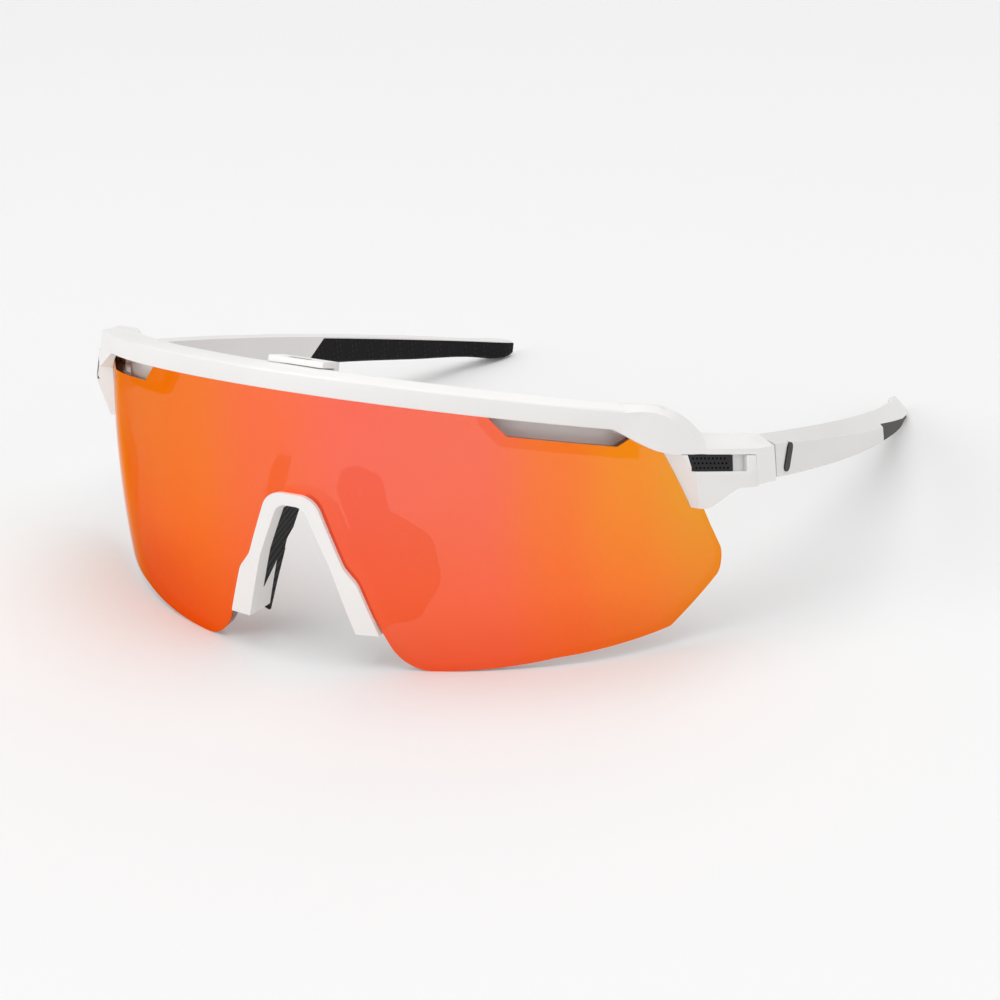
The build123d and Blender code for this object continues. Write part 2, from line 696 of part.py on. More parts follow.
def pod_recess(depth, length, gap=0.0):
    """Recess under the cheek line, along the pod's outer face."""
    along = Vector(END_BEND[0] - END_START[0], END_BEND[1] - END_START[1], 0).normalized()
    start = Vector(*END_START, 0) + along * MESH_START
    plane = Plane(start, x_dir=along, z_dir=along.cross(Vector(0, 0, 1)))
    slope = POD_SEAM_SLOPE * along.Y
    top = pod_seam_level(start.Y)
    foot = top - MESH_HEIGHT
    corners = [
        (0.0 - gap, top),
        (length + gap, top + slope * length),
        (length + gap + 0.5, foot + slope * length - gap),
        (1.5 - gap, foot - gap),
    ]
    face = plane * make_face(Polyline(*corners, close=True))
    return extrude(face, amount=depth, both=True)


def make_pod():
    """The left lower clamp with the recess for its mesh."""
    pod = pod_blank() - lens_solid(LENS_CLEARANCE)
    return main_body(pod - pod_recess(1.3, 12.2, 0.05))


def make_mesh():
    """Perforated insert in the front part of the pod's recess."""
    along = Vector(END_BEND[0] - END_START[0], END_BEND[1] - END_START[1], 0).normalized()
    outward = along.cross(Vector(0, 0, 1))
    mesh = pod_recess(1.25, 9.3) & pod_blank()
    plane = Plane(Vector(*END_START, 0) + along * MESH_START, x_dir=along, z_dir=outward)
    slope = POD_SEAM_SLOPE * along.Y
    top = pod_seam_level(plane.origin.Y) - POD_GAP
    for row in range(3):
        for column in range(9):
            across = 1.2 + row * 0.45 + column * 0.82
            level = top - 0.6 - row * 0.85 + slope * across
            mesh = mesh - plane * Pos(across, level, 0) * Cylinder(0.2, 1.4)
    return mesh


def nose_legs_foot():
    """Cuts the nose bridge's legs off square just above the lobes."""
    return Pos(0, 0, -45.3) * Box(80, 80, 60, align=(Align.CENTER, Align.CENTER, Align.MIN))


def nose_leg(offset_back, shape):
    """Sets a shape on the left leg of the nose bridge, turned to run along the leg."""
    return Pos(PAD_X, offset_back, PAD_HEIGHT) * Rot(0, -PAD_LEAN, 0) * shape


def pad_peg(gap):
    """Rib on the pad that plugs into the back of the bridge's leg."""
    block = Box(PEG_WIDTH + 2 * gap, 8, PEG_HEIGHT + 2 * gap, align=(Align.CENTER, Align.MIN, Align.CENTER))
    return nose_leg(PEG_FRONT - gap, block)


def nose_gap():
    """The gap between the bridge's legs."""
    side = [(13.8, -62.0, 0.0), (7.2, -37.4, 5.0), (5.9, -32.2, 5.0), (2.2, -21.6, 2.6)]
    return radial_prism(mirrored(side))


def pad_lining(gap):
    """Soft lining along the inner side of the left leg, let into the bridge behind its front rim."""
    line = [(2.9, -23.4), (5.9, -32.2), (7.2, -37.4), (8.1, -40.8)]
    outer = [(angle + LINING_ANGLE, height, 0.0) for angle, height in reversed(line)]
    inner = [(angle - 1.2, height, 0.0) for angle, height in line]
    band = radial_prism(inner + outer, -gap)
    lining = dome_shell(-LINING_SETBACK + gap, -LINING_DEPTH) & band
    slant = Pos(0, LINING_DEPTH + 0.6, -29.6) * Rot(-28, 0, 0)
    return lining - slant * Box(60, 20, 60, align=(Align.CENTER, Align.MIN, Align.CENTER))


def make_nose_bridge():
    """The arched clip round the lens's nose notch, with a slot in each leg for its pad."""
    shell = dome_shell(NOSE_LIP, -NOSE_DEPTH)
    outer = radial_prism(mirrored(nose_outline(-20.0)))
    pocket = pad_peg(PEG_CLEARANCE) + pad_lining(PEG_CLEARANCE)
    bridge = (shell & outer & nose_legs_foot()) - nose_gap() - pocket - right_of(pocket)
    return main_body(lens_frame(bridge) - lens_solid(LENS_CLEARANCE))


def pad_outline():
    """Outline of the pad's wing, along its depth and up the leg, with a small lobe above a large one."""
    return [
        (0.0, -6.5, 1.0),
        (7.5, -8.5, 3.5),
        (14.5, -4.0, 4.0),
        (15.5, 4.5, 4.0),
        (11.5, 9.5, 3.0),
        (9.0, 12.0, 1.5),
        (10.0, 18.5, 3.0),
        (4.5, 23.5, 3.0),
        (0.0, 19.0, 1.0),
    ]


def make_nose_pad():
    """The left rubber pad: a curved wing that flares back and out from the bridge's leg."""
    slab = extrude(Plane.YZ * rounded_face(pad_outline()), amount=12, both=True)
    bow = Pos(PAD_BOW, 9.0, 0)
    height = Align.CENTER
    tube = Cylinder(PAD_BOW, 90) - Cylinder(PAD_BOW - PAD_THICKNESS, 90)
    wing = slab & bow * tube
    wing = Rot(0, 0, -PAD_FLARE) * wing
    wing = nose_leg(NOSE_DEPTH + 0.2, wing)
    stem = Pos(-0.3, 0, 2) * Box(5.4, 3.2, 19, align=(Align.CENTER, Align.MIN, height))
    ahead = dome_shell(6, -NOSE_DEPTH - PEG_CLEARANCE)
    root = nose_leg(NOSE_DEPTH - 0.6, stem) - ahead
    root = (root + pad_lining(0)) - nose_gap()
    wing = (wing - ahead) - nose_gap()
    return main_body(lens_frame(wing + root + pad_peg(0)))


def make_latch():
    """The lens latch: a hooked slide over the back of the bar, with a tongue into the lens's window."""
    corner = (Align.CENTER, Align.MIN, Align.MIN)
    roof = BROW_TOP + LATCH_CLEARANCE
    front = crown() + LATCH_FRONT
    back = crown() + BROW_DEPTH + LATCH_BACK_GAP
    low = latch_tongue_level()
    plate = Pos(0, front, roof) * Box(LATCH_WIDTH, back + 1.6 - front, LATCH_TOP - roof, align=corner)
    wall = Pos(0, back, low) * Box(LATCH_WIDTH, 1.6, LATCH_TOP - low, align=corner)
    block = fillet((plate + wall).edges().filter_by(Axis.X).group_by(Axis.Z)[-1], 0.45)
    block = block - latch_badge_space(0.05)
    reach = crown() + LATCH_REACH
    tongue = Pos(0, reach, low) * Box(LATCH_TONGUE_WIDTH, back + 1 - reach, LATCH_TONGUE_HEIGHT, align=corner)
    return block + tongue


def latch_badge_space(gap):
    """Inlay in the latch's top."""
    plate = SlotOverall(LATCH_WIDTH * 0.42 + 2 * gap, 1.5 + 2 * gap)
    return Pos(0, crown() + LATCH_FRONT + 1.6, LATCH_TOP - 0.45 - gap) * extrude(plate, amount=0.45 + 2 * gap)


def make_latch_badge():
    """The dark inlay, level with the latch's top."""
    return latch_badge_space(0)


def settle(lens, arm):
    """Pitch at which the lens's lobes and the arm tips stand on one level, and that level."""
    low, high = 5.0, 35.0
    for _ in range(14):
        pitch = (low + high) / 2
        lens_foot = lowest(lens, pitch)
        arm_foot = lowest(arm, pitch)
        if arm_foot > lens_foot:
            low = pitch
        else:
            high = pitch
    return pitch, min(lens_foot, arm_foot)


def lowest(shape, pitch):
    """Lowest level of a shape after a turn about X."""
    return (Rot(-pitch, 0, 0) * shape).bounding_box(optimal=True).min.Z


def build():
    """All pieces in the wearing frame, by node name."""
    pieces = {
        "lens": make_lens(),
        "brow_bar": make_brow_bar(),
        "nose_bridge": make_nose_bridge(),
        "lens_latch": make_latch(),
        "latch_badge": make_latch_badge(),
    }
    pairs = {
        "side_pod": make_pod(),
        "vent_mesh": make_mesh(),
        "nose_pad": make_nose_pad(),
        "hinge_screw": make_pin(),
        "temple": make_temple(),
        "temple_grip": make_grip(),
        "temple_patch": make_patch(),
        "temple_badge": make_badge(),
    }
    for name, shape in pairs.items():
        pieces[name + "_left"] = shape
        pieces[name + "_right"] = right_of(shape)
    return pieces


def main():
    pieces = build()
    pitch, floor = settle(pieces["lens"], pieces["temple_left"] + pieces["temple_grip_left"])
    turned = {name: Rot(-pitch, 0, 0) * shape for name, shape in pieces.items()}
    boxes = [shape.bounding_box(optimal=True) for shape in turned.values()]
    middle = (min(box.min.Y for box in boxes) + max(box.max.Y for box in boxes)) / 2
    print("rest pitch", round(pitch, 4), "floor", round(floor, 4), "middle", round(middle, 4))
    os.makedirs("parts", exist_ok=True)
    for name, shape in turned.items():
        export_step(Pos(0, -middle, -floor) * shape, os.path.join("parts", name + ".step"))
        print(name, len(shape.solids()), round(shape.volume, 1))


main()
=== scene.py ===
import json
import math

import bpy
import numpy as np
from mathutils import Matrix, Vector


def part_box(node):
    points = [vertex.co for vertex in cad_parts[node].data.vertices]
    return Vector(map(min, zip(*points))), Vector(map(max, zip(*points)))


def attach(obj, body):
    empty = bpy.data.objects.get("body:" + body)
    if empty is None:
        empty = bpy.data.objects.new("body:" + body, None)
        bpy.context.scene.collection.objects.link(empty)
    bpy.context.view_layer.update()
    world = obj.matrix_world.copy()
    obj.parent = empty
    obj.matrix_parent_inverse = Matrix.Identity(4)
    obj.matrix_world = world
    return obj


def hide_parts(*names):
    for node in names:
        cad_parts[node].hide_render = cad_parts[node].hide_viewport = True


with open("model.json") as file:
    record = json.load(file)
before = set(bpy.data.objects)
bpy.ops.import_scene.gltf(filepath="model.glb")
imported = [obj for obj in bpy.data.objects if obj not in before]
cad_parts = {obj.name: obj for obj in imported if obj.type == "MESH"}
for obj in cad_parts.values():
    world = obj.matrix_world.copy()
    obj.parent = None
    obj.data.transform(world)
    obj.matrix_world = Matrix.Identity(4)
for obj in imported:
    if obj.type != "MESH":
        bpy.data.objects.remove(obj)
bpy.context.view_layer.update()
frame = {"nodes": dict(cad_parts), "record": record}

bl_info = {
    "name": "Shield Sunglasses",
    "version": (1, 0, 0),
    "blender": (4, 5, 0),
    "location": "View3D > Sidebar > Sunglasses",
    "description": "Finishes for white sport sunglasses with one mirror lens",
    "category": "Object",
}

LENS_LOW, LENS_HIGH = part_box("lens")
LENS_HALF_WIDTH = LENS_HIGH.x
LENS_DEPTH = LENS_HIGH.y - LENS_LOW.y
LENS_RADIUS = (LENS_HALF_WIDTH**2 + LENS_DEPTH**2) / (2 * LENS_DEPTH)
LENS_AXIS_Y = LENS_LOW.y + LENS_RADIUS
MM = 1000.0  # millimetres in a metre
MERGE_CELLS = 2e6  # per metre, when a node's vertices are merged

# Depths behind the lens's front, in millimetres: the coating fades out over the first range, and the
# cut edge starts over the second and ends over the third.
COATING_FADE = (0.25, 0.5)
EDGE_START = (0.2, 0.4)
EDGE_END = (1.65, 1.9)

# Relief of the rubber and steel, in metres.
RIB_PITCH = 0.0022
RIB_MIDDLE_Y = -0.0685
RIB_SLANT = 0.8
DOTS_PER_METRE = 900.0
TURNING_PITCH = 0.00022

# Camera: place in metres, its right, up and back directions in columns, and sizes in millimetres.
CAMERA_PLACE = (0.406884, -0.733056, 0.326525)
CAMERA_TURN = (
    (0.878719, -0.143083, 0.455391),
    (0.476062, 0.332454, -0.81415),
    (-0.034906, 0.932203, 0.36025),
)
CAMERA_LENS = 165.96
CAMERA_SENSOR = 36.0
CAMERA_CLIP = 0.05

# Lights: name, place, the point it is turned to, size in metres and strength in watts.
LIGHTS = (
    ("light_top", (0.1, -0.1, 1.5), (0.0, 0.0, 0.0), 1.6, 11.0),
    ("light_front", (-0.9, -1.5, 0.9), (0.0, 0.0, 0.02), 1.2, 11.0),
    ("light_side", (1.5, -0.5, 0.8), (0.0, 0.0, 0.02), 1.0, 3.2),
    ("light_back", (-0.3, 1.5, 0.9), (0.0, 0.0, 0.02), 1.2, 2.4),
)
SURROUND = 0.55
FLOOR_REACH = 6.0
SIDES = ("left", "right")
TRIM_ROUGHNESS = 0.38
LENS_CREASE = 40.0  # degrees


# Shader maths ---------------------------------------------------------------


class Signal:
    """A number on a node's socket. Arithmetic on it adds Math nodes."""

    def __init__(self, paint, socket):
        self.paint = paint
        self.socket = socket

    def _math(self, operation, *values):
        made = self.paint.node("ShaderNodeMath", {"operation": operation}, dict(enumerate(values)))
        return Signal(self.paint, made.outputs[0])

    def __add__(self, other):
        return self._math("ADD", self, other)

    __radd__ = __add__

    def __sub__(self, other):
        return self._math("SUBTRACT", self, other)

    def __rsub__(self, other):
        return self._math("SUBTRACT", other, self)

    def __mul__(self, other):
        return self._math("MULTIPLY", self, other)

    __rmul__ = __mul__

    def __truediv__(self, other):
        return self._math("DIVIDE", self, other)

    def __abs__(self):
        return self._math("ABSOLUTE", self)

    def sine(self):
        """Sine of the number, in radians."""
        return self._math("SINE", self)

    def step(self, low, high):
        """0 below low, 1 above high, and a smooth rise between them."""
        settings = {"interpolation_type": "SMOOTHSTEP"}
        links = {0: self, 1: low, 2: high, 3: 0.0, 4: 1.0}
        return Signal(self.paint, self.paint.node("ShaderNodeMapRange", settings, links).outputs[0])


class Paint:
    """A material under construction, with one Principled shader."""

    def __init__(self, name):
        self.material = bpy.data.materials.new(name)
        self.material.use_nodes = True
        self.tree = self.material.node_tree
        self.shader = self.tree.nodes["Principled BSDF"]
        self.place = self.node("ShaderNodeTexCoord").outputs["Object"]

    def node(self, kind, settings=None, links=None):
        """Adds a node: its settings first, then a value or a link for each named or numbered socket."""
        made = self.tree.nodes.new(kind)
        for key, value in (settings or {}).items():
            if key == "stops":
                self._stops(made.color_ramp, value)
            else:
                setattr(made, key, value)
        for key, value in (links or {}).items():
            self.feed(made.inputs[key], value)
        return made

    def _stops(self, ramp, stops):
        ramp.interpolation = "EASE"
        while len(ramp.elements) < len(stops):
            ramp.elements.new(0.5)
        for element, (position, colour) in zip(ramp.elements, stops):
            element.position = position
            element.color = (*colour, 1.0)

    def feed(self, socket, value):
        """Links a socket or sets its value."""
        if isinstance(value, Signal):
            value = value.socket
        if isinstance(value, bpy.types.NodeSocket):
            self.tree.links.new(value, socket)
        else:
            socket.default_value = value

    def axes(self):
        """The point's x, y and z in metres."""
        split = self.node("ShaderNodeSeparateXYZ", None, {0: self.place})
        return [Signal(self, output) for output in split.outputs]

    def noise(self, scale, detail=3.0, rough=0.5):
        """Soft cloud from 0 to 1, with features about 1 / scale metres across."""
        links = {"Vector": self.place, "Scale": scale, "Detail": detail, "Roughness": rough}
        return Signal(self, self.node("ShaderNodeTexNoise", None, links).outputs[0])

    def rows_of_dots(self, scale):
        """Distance to the nearest point of a regular grid, in cells of 1 / scale metres."""
        links = {"Vector": self.place, "Scale": scale, "Randomness": 0.0}
        made = self.node("ShaderNodeTexVoronoi", {"feature": "F1"}, links)
        return Signal(self, made.outputs["Distance"])

    def blend(self, factor, first, second):
        """Mixes two colours."""
        links = {0: factor, 6: first, 7: second}
        return self.node("ShaderNodeMix", {"data_type": "RGBA"}, links).outputs[2]

    def ramp(self, factor, stops):
        """Colour along a list of (position, colour) stops."""
        return self.node("ShaderNodeValToRGB", {"stops": stops}, {0: factor}).outputs[0]

    def bump(self, height, distance, strength=1.0):
        """Surface relief from a height of 0 to 1, distance metres high."""
        links = {"Height": height, "Distance": distance, "Strength": strength}
        self.feed(self.shader.inputs["Normal"], self.node("ShaderNodeBump", None, links).outputs[0])

    def set(self, **values):
        """Sets the shader's sockets, named with underscores for spaces."""
        for key, value in values.items():
            self.feed(self.shader.inputs[key.replace("_", " ")], value)


def shade(colour, factor=1.0):
    """A colour times a number, with full alpha."""
    return (*(min(1.0, channel * factor) for channel in colour[:3]), 1.0)


def linear(red, green, blue):
    """Display colour of 0 to 255 as linear light."""
    return tuple((channel / 255) ** 2.2 for channel in (red, green, blue))


# Finishes -------------------------------------------------------------------

# Mirror colours from the lens's right edge, at 0, to its left edge, at 1: the coating's orange with
# painted reflection colour, pink-red between the middle and the left edge and gold at both edges, as the
# coating looks from one side.
LENS_HUES_WITH_PAINTED_REFLECTION = [
    (0.0, linear(222, 160, 50)),
    (0.14, linear(243, 142, 30)),
    (0.3, linear(252, 120, 32)),
    (0.45, linear(255, 108, 58)),
    (0.6, linear(255, 106, 84)),
    (0.76, linear(255, 110, 82)),
    (0.86, linear(255, 122, 44)),
    (0.93, linear(252, 142, 26)),
    (1.0, linear(238, 162, 22)),
]


def moulded_white(name, colour, rough):
    """Satin white plastic: base colour and roughness drift slowly, over a fine moulded grain."""
    paint = Paint(name)
    drift = paint.noise(45.0, 2.0)
    grain = paint.noise(2600.0, 3.0)
    paint.set(
        Base_Color=paint.blend(drift.step(0.3, 0.75), shade(colour, 0.965), shade(colour)),
        Roughness=rough + drift * 0.08 + grain * 0.06,
        IOR=1.5,
    )
    paint.set(Coat_Weight=0.25, Coat_Roughness=0.12)
    paint.bump(grain, 0.000012, 0.5)
    return paint.material


def lens_front_terms():
    """Least-squares fit of the lens's front surface, in millimetres.

    x^2 + y^2 = a0 + a1 y + a2 z + a3 z^2 + a4 y z + a5 z^3 + a6 z^4, over the vertices whose
    faces look away from the lens's axis.
    """
    mesh = frame["nodes"]["lens"].data
    count = len(mesh.polygons)
    middles, normals = np.empty(count * 3, np.float32), np.empty(count * 3, np.float32)
    mesh.polygons.foreach_get("center", middles)
    mesh.polygons.foreach_get("normal", normals)
    middles, normals = middles.reshape(-1, 3).astype(float), normals.reshape(-1, 3).astype(float)
    outward = middles - (0.0, LENS_AXIS_Y, 0.0)
    outward[:, 2] = 0.0
    outward /= np.linalg.norm(outward, axis=1)[:, None]
    faces = (outward * normals).sum(1) > 0.8
    corners = np.empty(len(mesh.loops), np.int32)
    mesh.loops.foreach_get("vertex_index", corners)
    points = np.empty(len(mesh.vertices) * 3, np.float32)
    mesh.vertices.foreach_get("co", points)
    picked = points.reshape(-1, 3)[np.unique(corners.reshape(-1, 3)[faces])].astype(float) * MM
    x, y, z = picked.T
    columns = np.stack([np.ones_like(y), y, z, z**2, y * z, z**3, z**4], 1)
    return [float(term) for term in np.linalg.lstsq(columns, x**2 + y**2, rcond=None)[0]]


def mirror_lens(look):
    """Mirror coating in front, brown tint behind and dark cut edges.

    Depth is how far a point lies behind the fitted front surface, in millimetres:
    (fit - x^2 - y^2) / (2 radius). The coating is where it is under half a millimetre. Hue runs along x:
    the coating's colour with painted reflection colour, as it looks from one side.
    """
    paint = Paint("lens_mirror")
    x, y, z = [axis * MM for axis in paint.axes()]
    a0, a1, a2, a3, a4, a5, a6 = lens_front_terms()
    fit = y * (z * a4 + a1) + z * (z * (z * (z * a6 + a5) + a3) + a2) + a0
    depth = (fit - x * x - y * y) / (2 * LENS_RADIUS * MM)
    front = 1 - depth.step(*COATING_FADE)
    edge = depth.step(*EDGE_START) * (1 - depth.step(*EDGE_END))
    height = (z / MM - LENS_LOW.z) / (LENS_HIGH.z - LENS_LOW.z)
    cloud = paint.noise(22.0, 1.5)
    along = (x / MM + LENS_HALF_WIDTH) / (2 * LENS_HALF_WIDTH) + (cloud - 0.5) * 0.05
    # Painted reflection colour: the hue along x stands in for the coating's change of colour with
    # viewing angle, seen from one side.
    hue = paint.ramp(along, LENS_HUES_WITH_PAINTED_REFLECTION)
    coated = paint.blend(0.6 - height.step(0.0, 0.8) * 0.6, hue, shade(look.low_hue))
    tinted = paint.blend(front, shade(look.back_tint), coated)
    smear = paint.noise(160.0, 4.0, 0.6)
    paint.set(
        Base_Color=paint.blend(edge, tinted, shade(look.edge_tint)),
        Metallic=0.1 + front * 0.88,
        Roughness=0.08 + smear.step(0.45, 0.8) * 0.04 + edge * 0.2,
        Alpha=0.3 + front * 0.65 + edge * 0.3,
    )
    paint.set(IOR=1.58, Specular_Tint=(1.0, 0.42, 0.08, 1.0))
    return paint.material


def satin_black(name, colour, rough):
    """Black trim: faint cloudiness and a fine eroded grain."""
    paint = Paint(name)
    drift = paint.noise(120.0, 3.0)
    grain = paint.noise(4200.0, 2.0)
    paint.set(
        Base_Color=paint.blend(drift, shade(colour, 0.8), shade(colour, 1.3)),
        Roughness=rough + drift * 0.12,
    )
    paint.set(Specular_IOR_Level=0.3)
    paint.bump(grain, 0.00002, 0.6)
    return paint.material


def soft_rubber(name, colour, relief):
    """Rubber with a raised pattern: chevron ribs, rows of dots or a plain fine grain.

    Ribs rise where sin(2 pi (z + slant |y - middle|) / pitch) is above 0.
    """
    paint = Paint(name)
    _, y, z = paint.axes()
    drift = paint.noise(90.0, 3.0)
    grain = paint.noise(3200.0, 3.0)
    height = grain * 0.3
    distance = 0.00006
    if relief == "ribs":
        chevron = (z + abs(y - RIB_MIDDLE_Y) * RIB_SLANT) * (2 * math.pi / RIB_PITCH)
        height = chevron.sine().step(-0.5, 0.5) + grain * 0.1
        distance = 0.0003
    if relief == "dots":
        height = 1 - paint.rows_of_dots(DOTS_PER_METRE).step(0.2, 0.42) + grain * 0.1
        distance = 0.00015
    lift = height.step(0.2, 1.0)
    # Raised ribs and dots are painted lighter and the hollows between them darker: painted highlight and
    # painted shade.
    paint.set(
        Base_Color=paint.blend(lift * 0.5 + drift * 0.5, shade(colour, 0.75), shade(colour, 1.45)),
        Roughness=0.62 + drift * 0.12 - lift * 0.06,
        IOR=1.45,
    )
    paint.set(Specular_IOR_Level=0.18, Sheen_Weight=0.02, Sheen_Roughness=0.5)
    paint.bump(height, distance, 0.8)
    return paint.material


def turned_steel(name, colour):
    """Screw steel: fine rings of turning and a slight cloud."""
    paint = Paint(name)
    z = paint.axes()[2]
    rings = (z * (2 * math.pi / TURNING_PITCH)).sine() * 0.5 + 0.5
    drift = paint.noise(700.0, 3.0)
    paint.set(
        Base_Color=paint.blend(drift, shade(colour, 0.75), shade(colour, 1.1)),
        Metallic=1.0,
        Roughness=0.26 + rings * 0.1 + drift * 0.08,
    )
    paint.bump(rings, 0.00001, 0.6)
    return paint.material


# Pieces ---------------------------------------------------------------------


def smoothed_copy(node, crease=32.0):
    """A merged copy of a CAD node's mesh, sharp only where faces meet at over crease degrees.

    Vertices within half a micrometre become one, and triangles that this flattens are left out.
    """
    source = frame["nodes"][node].data
    points = np.empty(len(source.vertices) * 3, np.float32)
    source.vertices.foreach_get("co", points)
    points = points.reshape(-1, 3)
    corners = np.empty(len(source.loops), np.int32)
    source.loops.foreach_get("vertex_index", corners)
    cells = np.round(points * MERGE_CELLS).astype(np.int64)
    _, first, merged = np.unique(cells, axis=0, return_index=True, return_inverse=True)
    faces = merged.reshape(-1)[corners].reshape(-1, 3)
    sound = (faces != np.roll(faces, 1, axis=1)).all(1)
    mesh = bpy.data.meshes.new(node + "_surface")
    mesh.from_pydata(points[first], [], faces[sound])
    mesh.shade_smooth()
    mesh.set_sharp_from_angle(angle=math.radians(crease))
    mesh.update()
    piece = bpy.data.objects.new(node + "_piece", mesh)
    bpy.context.scene.collection.objects.link(piece)
    return piece


def body_for(node):
    """The moving body that holds a CAD node, from the record."""
    for name, nodes in frame["record"]["behaviour"]["bodies"].items():
        if node in nodes:
            return name
    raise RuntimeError(node + " is on no body")


def finish_nodes(nodes, material, crease=32.0):
    """Gives each CAD node a smooth surface in a finish, on its own body."""
    for node in nodes:
        piece = smoothed_copy(node, crease)
        piece.data.materials.append(material)
        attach(piece, body_for(node))
        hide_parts(node)


def front_white(scene):
    """The white shared by the front's pieces, made once."""
    look = scene.frame_look
    name = "white_front"
    return bpy.data.materials.get(name) or moulded_white(name, look.white, look.rough)


def trim_black(scene):
    """The black shared by the meshes and badges, made once."""
    name = "black_mesh"
    return bpy.data.materials.get(name) or satin_black(name, scene.frame_look.black, TRIM_ROUGHNESS)


def both(name):
    """The left and right nodes of a paired piece."""
    return [name + "_" + side for side in SIDES]


def colour_property(name, text, default):
    """A linear colour that a user can change."""
    return bpy.props.FloatVectorProperty(name=name, description=text, subtype="COLOR",
                                         size=3, min=0.0, max=1.0, default=default)


class LensLook(bpy.types.PropertyGroup):
    low_hue: colour_property("Low hue", "Mirror colour towards the lens's lobes", linear(254, 98, 30))
    back_tint: colour_property("Back tint", "Colour of the lens seen from behind", (0.1, 0.035, 0.02))
    edge_tint: colour_property("Edge tint", "Colour of the lens's cut edges", (0.06, 0.03, 0.02))


class FrameLook(bpy.types.PropertyGroup):
    white: colour_property("White", "Colour of the front's white pieces", (0.87, 0.86, 0.845))
    # The arms' white is the front's white painted darker: painted shade of their side faces.
    arm_white_painted_shade: colour_property("Arm white", "Colour of the arms", (0.78, 0.765, 0.755))
    black: colour_property("Black", "Colour of the vent meshes and badges", (0.012, 0.012, 0.014))
    rough: bpy.props.FloatProperty(name="Roughness", description="Roughness of the white plastic",
                                   subtype="FACTOR", min=0.0, max=1.0, default=0.26)


class RubberLook(bpy.types.PropertyGroup):
    pad: colour_property("Pad", "Colour of the nose pads", (0.022, 0.021, 0.022))
    grip: colour_property("Grip", "Colour of the linings inside the arms", (0.008, 0.0075, 0.009))
    patch: colour_property("Patch", "Colour of the patches outside the arms", (0.07, 0.066, 0.064))
    # The patch is the linings' black rubber painted lighter grey: painted sheen.
    steel: colour_property("Steel", "Colour of the hinge screws", (0.55, 0.55, 0.56))


class StageLook(bpy.types.PropertyGroup):
    floor: colour_property("Floor", "Colour of the floor", (0.86, 0.86, 0.86))
    light: bpy.props.FloatProperty(name="Light", description="Strength of the lights, 1 as made",
                                   subtype="FACTOR", min=0.0, max=4.0, default=1.0)


class PieceOperator(bpy.types.Operator):
    """Shared settings of the operators below"""

    bl_options = {"REGISTER", "UNDO"}

    def execute(self, context):
        self.make(context.scene)
        return {"FINISHED"}


class MakeLens(PieceOperator):
    """Gives the lens its mirror front, tinted back and dark edges"""

    bl_idname = "sunglasses.lens"
    bl_label = "Lens"

    def make(self, scene):
        finish_nodes(["lens"], mirror_lens(scene.lens_look), LENS_CREASE)


class MakeBrowBar(PieceOperator):
    """Finishes the brow bar"""

    bl_idname = "sunglasses.brow_bar"
    bl_label = "Brow bar"

    def make(self, scene):
        finish_nodes(["brow_bar"], front_white(scene))


class MakeNoseBridge(PieceOperator):
    """Finishes the nose bridge"""

    bl_idname = "sunglasses.nose_bridge"
    bl_label = "Nose bridge"

    def make(self, scene):
        finish_nodes(["nose_bridge"], front_white(scene))


class MakeLatch(PieceOperator):
    """Finishes the lens latch"""

    bl_idname = "sunglasses.latch"
    bl_label = "Lens latch"

    def make(self, scene):
        finish_nodes(["lens_latch"], front_white(scene))


class MakePods(PieceOperator):
    """Finishes the side pods"""

    bl_idname = "sunglasses.pods"
    bl_label = "Side pods"

    def make(self, scene):
        finish_nodes(both("side_pod"), front_white(scene))


class MakeArms(PieceOperator):
    """Finishes the two arms"""

    bl_idname = "sunglasses.arms"
    bl_label = "Arms"

    def make(self, scene):
        look = scene.frame_look
        # The darker arm white is painted shade on the same white plastic as the front.
        finish_nodes(both("temple"), moulded_white("white_arms_painted_shade", look.arm_white_painted_shade, look.rough))


class MakeMeshes(PieceOperator):
    """Finishes the vent meshes"""

    bl_idname = "sunglasses.meshes"
    bl_label = "Vent meshes"

    def make(self, scene):
        finish_nodes(both("vent_mesh"), trim_black(scene))


class MakeBadges(PieceOperator):
    """Finishes the badges of the arms and latch"""

    bl_idname = "sunglasses.badges"
    bl_label = "Badges"

    def make(self, scene):
        finish_nodes(both("temple_badge") + ["latch_badge"], trim_black(scene))


class MakeScrews(PieceOperator):
    """Finishes the hinge screws"""

    bl_idname = "sunglasses.screws"
    bl_label = "Hinge screws"

    def make(self, scene):
        finish_nodes(both("hinge_screw"), turned_steel("steel", scene.rubber_look.steel))


class MakePads(PieceOperator):
    """Finishes the ribbed nose pads"""

    bl_idname = "sunglasses.pads"
    bl_label = "Nose pads"

    def make(self, scene):
        finish_nodes(both("nose_pad"), soft_rubber("rubber_pad", scene.rubber_look.pad, "ribs"))


class MakeGrips(PieceOperator):
    """Finishes the rubber linings inside the arms"""

    bl_idname = "sunglasses.grips"
    bl_label = "Arm linings"

    def make(self, scene):
        rubber = soft_rubber("rubber_grip", scene.rubber_look.grip, "dots")
        finish_nodes(both("temple_grip"), rubber)


class MakePatches(PieceOperator):
    """Finishes the rubber patches outside the arm tips"""

    bl_idname = "sunglasses.patches"
    bl_label = "Arm patches"

    def make(self, scene):
        # A lighter rubber for the patches: painted sheen on the same black rubber as the linings.
        rubber = soft_rubber("rubber_patch_painted_sheen", scene.rubber_look.patch, "grain")
        finish_nodes(both("temple_patch"), rubber)


def area_light(name, place, aim, size, power):
    """A square soft light at a place, turned towards a point."""
    lamp = bpy.data.lights.new(name, "AREA")
    lamp.size = size
    lamp.energy = power
    made = bpy.data.objects.new(name, lamp)
    bpy.context.scene.collection.objects.link(made)
    turn = (Vector(aim) - Vector(place)).to_track_quat("-Z", "Y").to_matrix().to_4x4()
    made.matrix_world = Matrix.Translation(place) @ turn


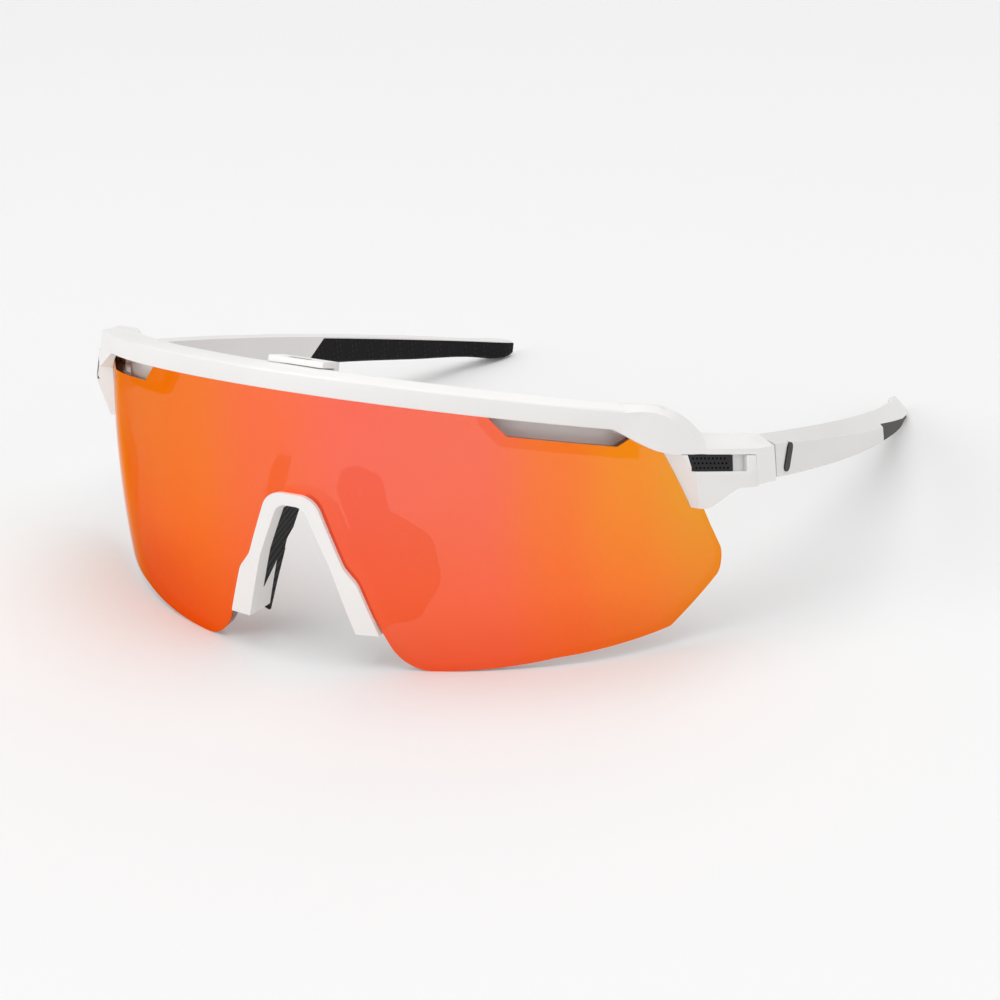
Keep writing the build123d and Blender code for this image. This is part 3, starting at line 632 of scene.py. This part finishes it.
class MakeStage(PieceOperator):
    """Adds the pale floor, the soft studio light and the camera"""

    bl_idname = "sunglasses.stage"
    bl_label = "Stage"

    def make(self, scene):
        look = scene.stage_look
        mesh = bpy.data.meshes.new("floor")
        corners = [(-FLOOR_REACH, -FLOOR_REACH, 0), (FLOOR_REACH, -FLOOR_REACH, 0),
                   (FLOOR_REACH, FLOOR_REACH, 0), (-FLOOR_REACH, FLOOR_REACH, 0)]
        mesh.from_pydata(corners, [], [(0, 1, 2, 3)])
        floor = bpy.data.objects.new("floor", mesh)
        scene.collection.objects.link(floor)
        paint = Paint("floor_paper")
        drift = paint.noise(3.0, 2.0)
        paint.set(Base_Color=paint.blend(drift, shade(look.floor, 0.99), shade(look.floor)),
                  Roughness=0.85 + drift * 0.1)
        mesh.materials.append(paint.material)
        power = look.light
        for name, place, aim, size, strength in LIGHTS:
            area_light(name, place, aim, size, strength * power)
        world = bpy.data.worlds.new("studio")
        scene.world = world
        world.use_nodes = True
        world.node_tree.nodes["Background"].inputs[0].default_value = (1.0, 1.0, 1.0, 1.0)
        world.node_tree.nodes["Background"].inputs[1].default_value = SURROUND * power
        scene.view_settings.view_transform = "Standard"
        view = bpy.data.cameras.new("camera")
        view.lens = CAMERA_LENS
        view.sensor_width = CAMERA_SENSOR
        view.clip_start = CAMERA_CLIP
        camera = bpy.data.objects.new("camera", view)
        scene.collection.objects.link(camera)
        camera.matrix_world = Matrix.Translation(CAMERA_PLACE) @ Matrix(CAMERA_TURN).to_4x4()
        scene.camera = camera


class SunglassesPanel(bpy.types.Panel):
    """Lists the pieces and their sizes and colours"""

    bl_idname = "VIEW3D_PT_sunglasses"
    bl_label = "Sunglasses"
    bl_space_type = "VIEW_3D"
    bl_region_type = "UI"
    bl_category = "Sunglasses"

    def draw(self, context):
        # """Shows the colours and settings, and a button that makes each piece"""
        for name in LOOKS:
            look = getattr(context.scene, name)
            for key in look.__annotations__:
                self.layout.prop(look, key)
        for maker in MAKERS:
            self.layout.operator(maker.bl_idname)


LOOKS = {
    "lens_look": LensLook,
    "frame_look": FrameLook,
    "rubber_look": RubberLook,
    "stage_look": StageLook,
}
MAKERS = (
    MakeLens,
    MakeBrowBar,
    MakeNoseBridge,
    MakeLatch,
    MakePods,
    MakeArms,
    MakeMeshes,
    MakeBadges,
    MakeScrews,
    MakePads,
    MakeGrips,
    MakePatches,
    MakeStage,
)


def register():
    for name, look in LOOKS.items():
        bpy.utils.register_class(look)
        setattr(bpy.types.Scene, name, bpy.props.PointerProperty(type=look))
    for maker in MAKERS:
        bpy.utils.register_class(maker)
    bpy.utils.register_class(SunglassesPanel)


def unregister():
    bpy.utils.unregister_class(SunglassesPanel)
    for maker in reversed(MAKERS):
        bpy.utils.unregister_class(maker)
    for name, look in LOOKS.items():
        delattr(bpy.types.Scene, name)
        bpy.utils.unregister_class(look)


def main():
    """Makes every piece in order."""
    register()
    for maker in MAKERS:
        group, name = maker.bl_idname.split(".")
        getattr(getattr(bpy.ops, group), name)()


if __name__ == "__main__":
    main()
